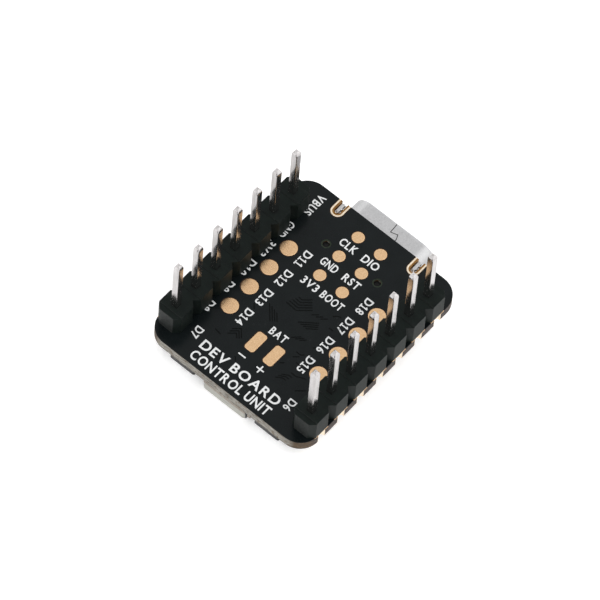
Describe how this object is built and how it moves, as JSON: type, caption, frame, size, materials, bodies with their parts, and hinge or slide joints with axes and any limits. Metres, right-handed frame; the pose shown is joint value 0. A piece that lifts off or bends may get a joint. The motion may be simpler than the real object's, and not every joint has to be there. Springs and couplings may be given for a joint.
{
  "type": "microcontroller dev board",
  "caption": "Thumb-sized microcontroller board with a USB-C port, two soldered pin headers, gold test and battery pads and two push buttons.",
  "frame": {"origin": "centre of the board's outline, on the face that carries the headers", "axes": "+Z the way the header pins point, +Y towards the USB-C end, +X from the VBUS-to-D7 pin row to the D0-to-D6 pin row"},
  "size_m": [0.0178, 0.023, 0.0133],
  "materials": {
    "black_solder_mask": "satin black solder mask over glass laminate, pale beige at the cut edge",
    "immersion_gold": "matt immersion gold on copper",
    "header_plastic": "moulded black nylon, slightly glossy",
    "plated_pin": "bright tin plating with fine draw lines",
    "solder": "bright reflowed solder",
    "port_shell_steel": "satin nickel plated stainless steel",
    "port_insulator": "black glass-filled polymer",
    "contact_gold": "bright gold flash",
    "crystal_can": "satin nickel plated can",
    "crystal_base_metal": "dull nickel plate",
    "button_plastic": "black polymer",
    "button_steel": "stamped stainless steel",
    "plunger_plastic": "black nylon",
    "mould_compound": "black epoxy mould compound",
    "tinned_lead": "matt tin",
    "ferrite": "dark grey ferrite",
    "capacitor_ceramic": "tan ceramic",
    "resistor_film": "glossy black overglaze",
    "led_white": "white reflector polymer",
    "led_resin": "milky clear resin"
  },
  "bodies": {
    "board_assembly": {"battery_pads": "immersion_gold", "boot_button_body": "button_plastic", "boot_button_cover": "button_steel", "boot_button_dome": "button_steel", "capacitor_bodies": "capacitor_ceramic", "capacitor_terminals": "tinned_lead", "charger_leads": "tinned_lead", "charger_package": "mould_compound", "circuit_board": "black_solder_mask", "crystal_base": "crystal_base_metal", "crystal_lid": "crystal_can", "flash_leads": "tinned_lead", "flash_package": "mould_compound", "gpio_pads": "immersion_gold", "header_pin_3v3": "plated_pin", "header_pin_d0": "plated_pin", "header_pin_d1": "plated_pin", "header_pin_d10": "plated_pin", "header_pin_d2": "plated_pin", "header_pin_d3": "plated_pin", "header_pin_d4": "plated_pin", "header_pin_d5": "plated_pin", "header_pin_d6": "plated_pin", "header_pin_d7": "plated_pin", "header_pin_d8": "plated_pin", "header_pin_d9": "plated_pin", "header_pin_gnd": "plated_pin", "header_pin_vbus": "plated_pin", "header_solder_joints": "solder", "indicator_led_bodies": "led_white", "indicator_led_lenses": "led_resin", "inductor_core": "ferrite", "inductor_terminals": "tinned_lead", "left_header_insulator": "header_plastic", "mcu_leads": "tinned_lead", "mcu_package": "mould_compound", "pin_pads": "immersion_gold", "regulator_leads": "tinned_lead", "regulator_package": "mould_compound", "reset_button_body": "button_plastic", "reset_button_cover": "button_steel", "reset_button_dome": "button_steel", "resistor_bodies": "resistor_film", "resistor_terminals": "tinned_lead", "rgb_led_body": "led_white", "rgb_led_lens": "led_resin", "right_header_insulator": "header_plastic", "test_pads": "immersion_gold", "usb_contacts_board_side": "contact_gold", "usb_contacts_outer_side": "contact_gold", "usb_housing": "port_insulator", "usb_mid_plate": "port_shell_steel", "usb_shell": "port_shell_steel", "usb_shell_solder": "solder", "usb_slot_plating": "immersion_gold"},
    "boot_plunger": {"boot_button_plunger": "plunger_plastic"},
    "reset_plunger": {"reset_button_plunger": "plunger_plastic"}
  },
  "joints": [
    {"name": "boot_button_press", "type": "slide", "parent": "board_assembly", "child": "boot_plunger", "axis": [0, 0, 1], "range_m": [0, 0.00015], "stiffness_N_per_m": 10000, "deforming": ["boot_button_dome"]},
    {"name": "reset_button_press", "type": "slide", "parent": "board_assembly", "child": "reset_plunger", "axis": [0, 0, 1], "range_m": [0, 0.00015], "stiffness_N_per_m": 10000, "deforming": ["reset_button_dome"]}
  ]
}
